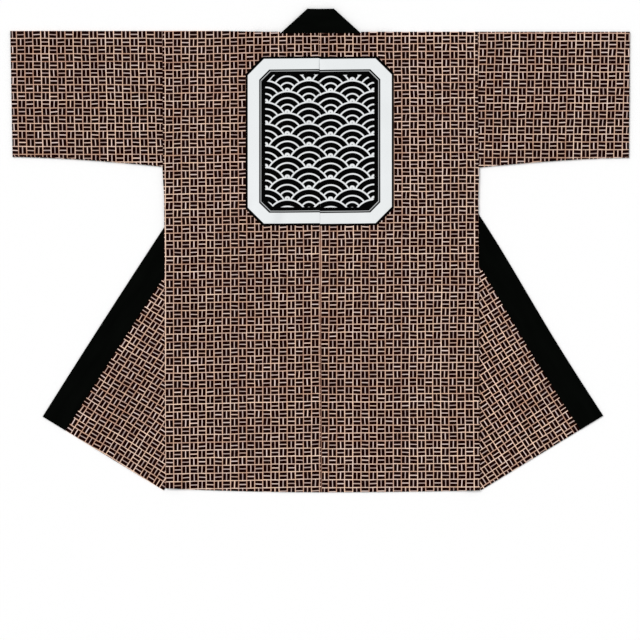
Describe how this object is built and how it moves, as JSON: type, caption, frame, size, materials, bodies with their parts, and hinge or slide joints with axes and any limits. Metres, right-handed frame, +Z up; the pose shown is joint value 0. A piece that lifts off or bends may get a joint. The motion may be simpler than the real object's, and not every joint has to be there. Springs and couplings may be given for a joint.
{
  "type": "hanten",
  "caption": "Short open cotton coat with straight sleeves and a black collar band, laid flat with its back up and its fronts folded out on the slant.",
  "frame": {"origin": "middle of the whole outline as it lies, on the surface it lies on", "axes": "+X to the right of the back across both sleeves, +Y towards the collar, +Z up, away from the surface"},
  "size_m": [1.1456, 0.894, 0.0057],
  "materials": {
    "print": "matte printed cotton",
    "band": "matte black cotton"
  },
  "bodies": {
    "root": {"body_left": "print", "body_right": "print", "sleeve_left": "print", "sleeve_right": "print", "collar": "band"}
  },
  "joints": []
}
